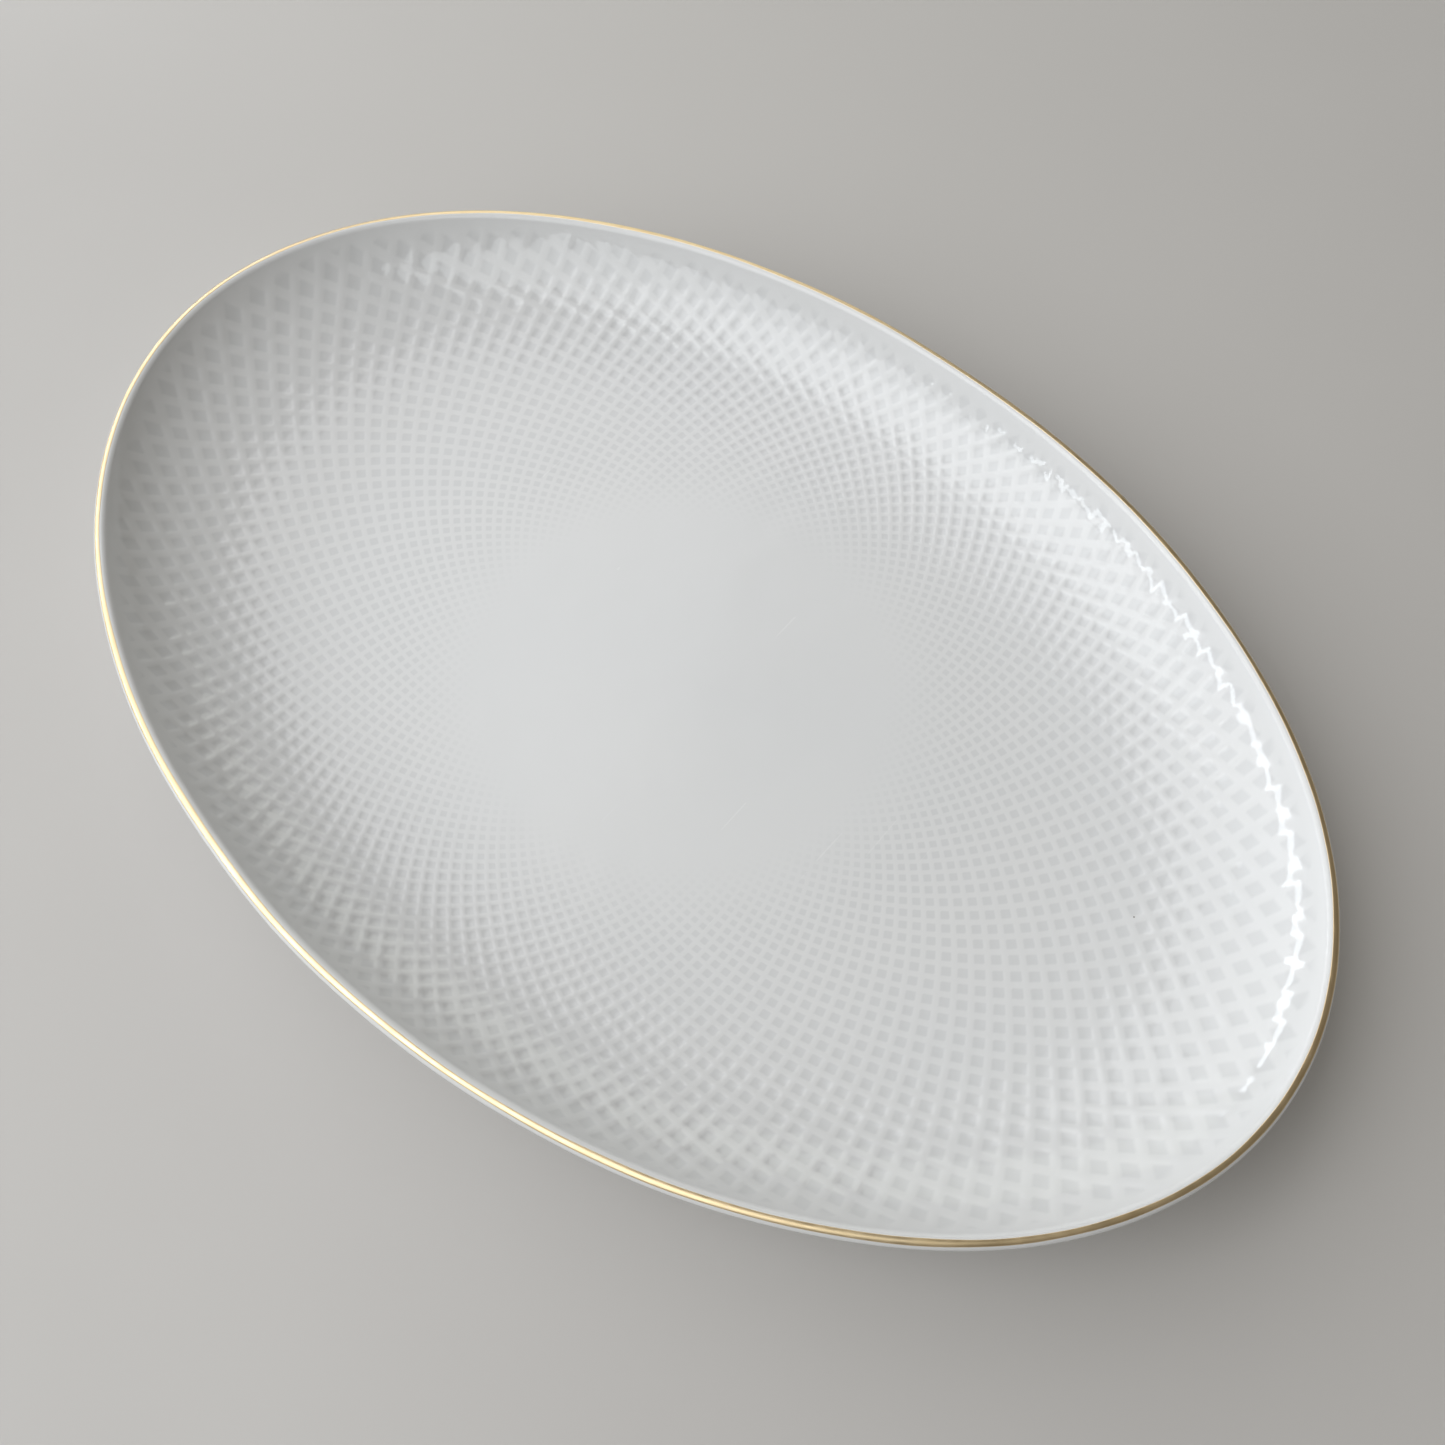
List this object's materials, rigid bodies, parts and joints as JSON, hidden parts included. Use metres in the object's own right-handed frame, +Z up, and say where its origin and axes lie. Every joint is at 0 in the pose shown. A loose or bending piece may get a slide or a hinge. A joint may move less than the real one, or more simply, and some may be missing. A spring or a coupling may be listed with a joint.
{
  "type": "serving platter",
  "caption": "Shallow oval glazed china dish with a raised wall, a relief inside, a gilt lip and an oval standing ring underneath.",
  "frame": {"origin": "on the surface the platter stands on, under the middle of the dish", "axes": "+X along the long axis of the oval, +Y along the short axis, +Z up out of the dish"},
  "size_m": [0.36, 0.24, 0.0329],
  "materials": {
    "glazed_china": "gloss",
    "gilt": "polished",
    "unglazed_china": "matte"
  },
  "bodies": {
    "root": {"platter_body": "glazed_china", "gilt_rim": "gilt", "foot_ring": "unglazed_china"}
  },
  "joints": []
}
